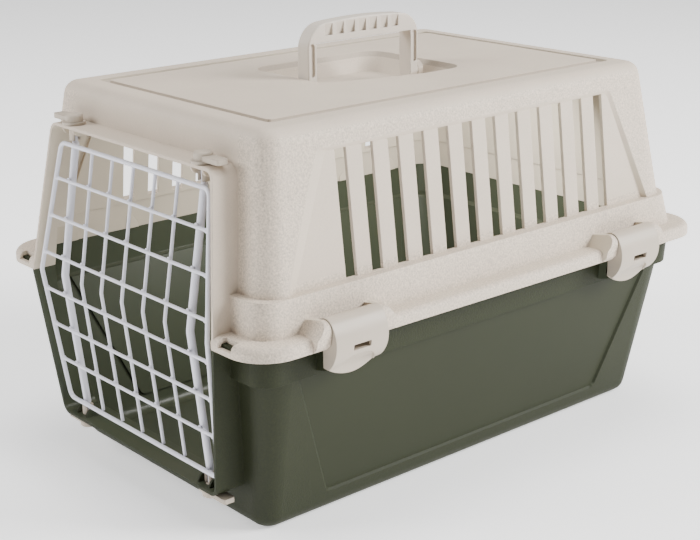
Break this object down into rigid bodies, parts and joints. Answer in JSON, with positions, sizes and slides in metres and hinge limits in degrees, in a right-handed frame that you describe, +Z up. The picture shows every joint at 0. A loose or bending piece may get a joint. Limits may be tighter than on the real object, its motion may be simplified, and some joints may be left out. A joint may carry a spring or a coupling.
{
  "type": "pet carrier",
  "caption": "Hard plastic pet carrier with slotted sides, a bent wire door held in claw levers, snap-over side latches and a carrying handle that folds into a well in the roof.",
  "frame": {"origin": "on the floor, below the middle of the carrier's length and width", "axes": "+Z up, -Y towards the wire door, +X to the right side seen from the door"},
  "size_m": [0.3456, 0.4562, 0.3266],
  "materials": {
    "lower_shell": "fine grain outside, smooth inside",
    "upper_shell": "fine grain with smoother side panels",
    "handle": "satin",
    "latches": "satin",
    "levers": "satin",
    "door_wire": "gloss powder coat"
  },
  "bodies": {
    "shells": {"lower_shell": "lower_shell", "upper_shell": "upper_shell"},
    "door": {"door_frame_wire": "door_wire", "hinge_rod_left": "door_wire", "hinge_rod_right": "door_wire", "door_wire_vertical_1": "door_wire", "door_wire_vertical_2": "door_wire", "door_wire_vertical_3": "door_wire", "door_wire_vertical_4": "door_wire", "door_wire_vertical_5": "door_wire", "door_wire_horizontal_1": "door_wire", "door_wire_horizontal_2": "door_wire", "door_wire_horizontal_3": "door_wire", "door_wire_horizontal_4": "door_wire", "door_wire_horizontal_5": "door_wire", "door_wire_horizontal_6": "door_wire"},
    "handle": {"carry_handle": "handle"},
    "latch_front_left": {"latch_front_left": "latches"},
    "latch_front_right": {"latch_front_right": "latches"},
    "latch_rear_left": {"latch_rear_left": "latches"},
    "latch_rear_right": {"latch_rear_right": "latches"},
    "lever_top_left": {"lever_top_left": "levers"},
    "lever_top_right": {"lever_top_right": "levers"},
    "lever_bottom_left": {"lever_bottom_left": "levers"},
    "lever_bottom_right": {"lever_bottom_right": "levers"}
  },
  "joints": [
    {"name": "door_hinge", "type": "hinge", "parent": "shells", "child": "door", "pos_m": [-0.0809, -0.2069, 0.14475], "axis": [0, -0.0235, -0.9997], "range_deg": [0, 110]},
    {"name": "handle_fold", "type": "hinge", "parent": "shells", "child": "handle", "pos_m": [0, 0.0008, 0.2785], "axis": [0, -1, 0], "range_deg": [0, 90]},
    {"name": "latch_front_left_hinge", "type": "hinge", "parent": "shells", "child": "latch_front_left", "pos_m": [-0.1615, -0.1486, 0.1576], "axis": [0, 1, 0], "range_deg": [0, 115]},
    {"name": "latch_front_right_hinge", "type": "hinge", "parent": "shells", "child": "latch_front_right", "pos_m": [0.1615, -0.1486, 0.1576], "axis": [0, -1, 0], "range_deg": [0, 115]},
    {"name": "latch_rear_left_hinge", "type": "hinge", "parent": "shells", "child": "latch_rear_left", "pos_m": [-0.1615, 0.1362, 0.1576], "axis": [0, 1, 0], "range_deg": [0, 115]},
    {"name": "latch_rear_right_hinge", "type": "hinge", "parent": "shells", "child": "latch_rear_right", "pos_m": [0.1615, 0.1362, 0.1576], "axis": [0, -1, 0], "range_deg": [0, 115]},
    {"name": "lever_top_left_turn", "type": "hinge", "parent": "shells", "child": "lever_top_left", "pos_m": [-0.0809, -0.2044, 0.2598], "axis": [0, 0, 1], "range_deg": [0, 90]},
    {"name": "lever_top_right_turn", "type": "hinge", "parent": "shells", "child": "lever_top_right", "pos_m": [0.0809, -0.2044, 0.2598], "axis": [0, 0, -1], "range_deg": [0, 90]},
    {"name": "lever_bottom_left_turn", "type": "hinge", "parent": "shells", "child": "lever_bottom_left", "pos_m": [-0.0809, -0.2094, 0.0308], "axis": [0, 0, 1], "range_deg": [0, 90]},
    {"name": "lever_bottom_right_turn", "type": "hinge", "parent": "shells", "child": "lever_bottom_right", "pos_m": [0.0809, -0.2094, 0.0308], "axis": [0, 0, -1], "range_deg": [0, 90]}
  ]
}
